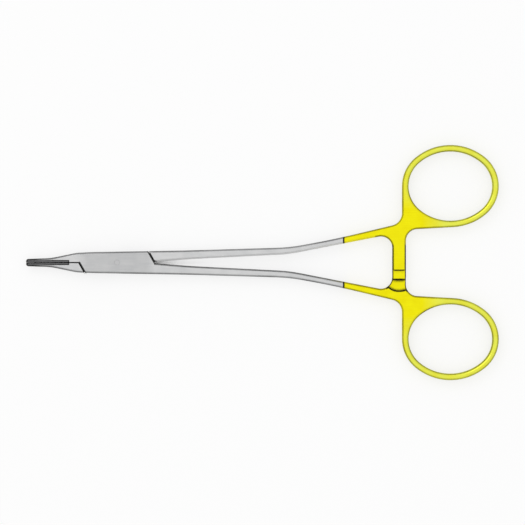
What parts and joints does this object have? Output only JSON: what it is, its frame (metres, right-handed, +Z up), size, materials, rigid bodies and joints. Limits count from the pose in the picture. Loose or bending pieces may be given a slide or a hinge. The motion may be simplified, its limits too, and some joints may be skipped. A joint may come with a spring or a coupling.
{
  "type": "surgical needle holder",
  "caption": "Ring-handled surgical needle holder with slender jaws, cross-cut jaw inserts, a box lock and a ratchet between plated handles, closed and lying flat.",
  "frame": {"origin": "on the lock pin's axis, at the underside of the lock box, which is the surface that the closed holder lies on", "axes": "+X runs back along the holder from the pin to the finger rings, with the jaws at -X; +Y runs across it, to the finger ring of the tongue half; +Z runs up along the lock pin"},
  "size_m": [0.1502, 0.0746, 0.0048],
  "materials": {
    "box_half_steel": "satin, gold plated behind the shank",
    "tongue_half_steel": "satin, gold plated behind the shank",
    "box_insert_carbide": "ground tungsten carbide, cross-cut",
    "tongue_insert_carbide": "ground tungsten carbide, cross-cut",
    "pin_steel": "riveted flush and satin"
  },
  "bodies": {
    "box_side": {"box_half": "box_half_steel", "box_jaw_insert": "box_insert_carbide", "lock_pin": "pin_steel"},
    "tongue_side": {"tongue_half": "tongue_half_steel", "tongue_jaw_insert": "tongue_insert_carbide"}
  },
  "joints": [
    {"name": "lock_hinge", "type": "hinge", "parent": "box_side", "child": "tongue_side", "pos_m": [0, 0, 0], "axis": [0, 0, 1], "range_deg": [0, 45]}
  ]
}
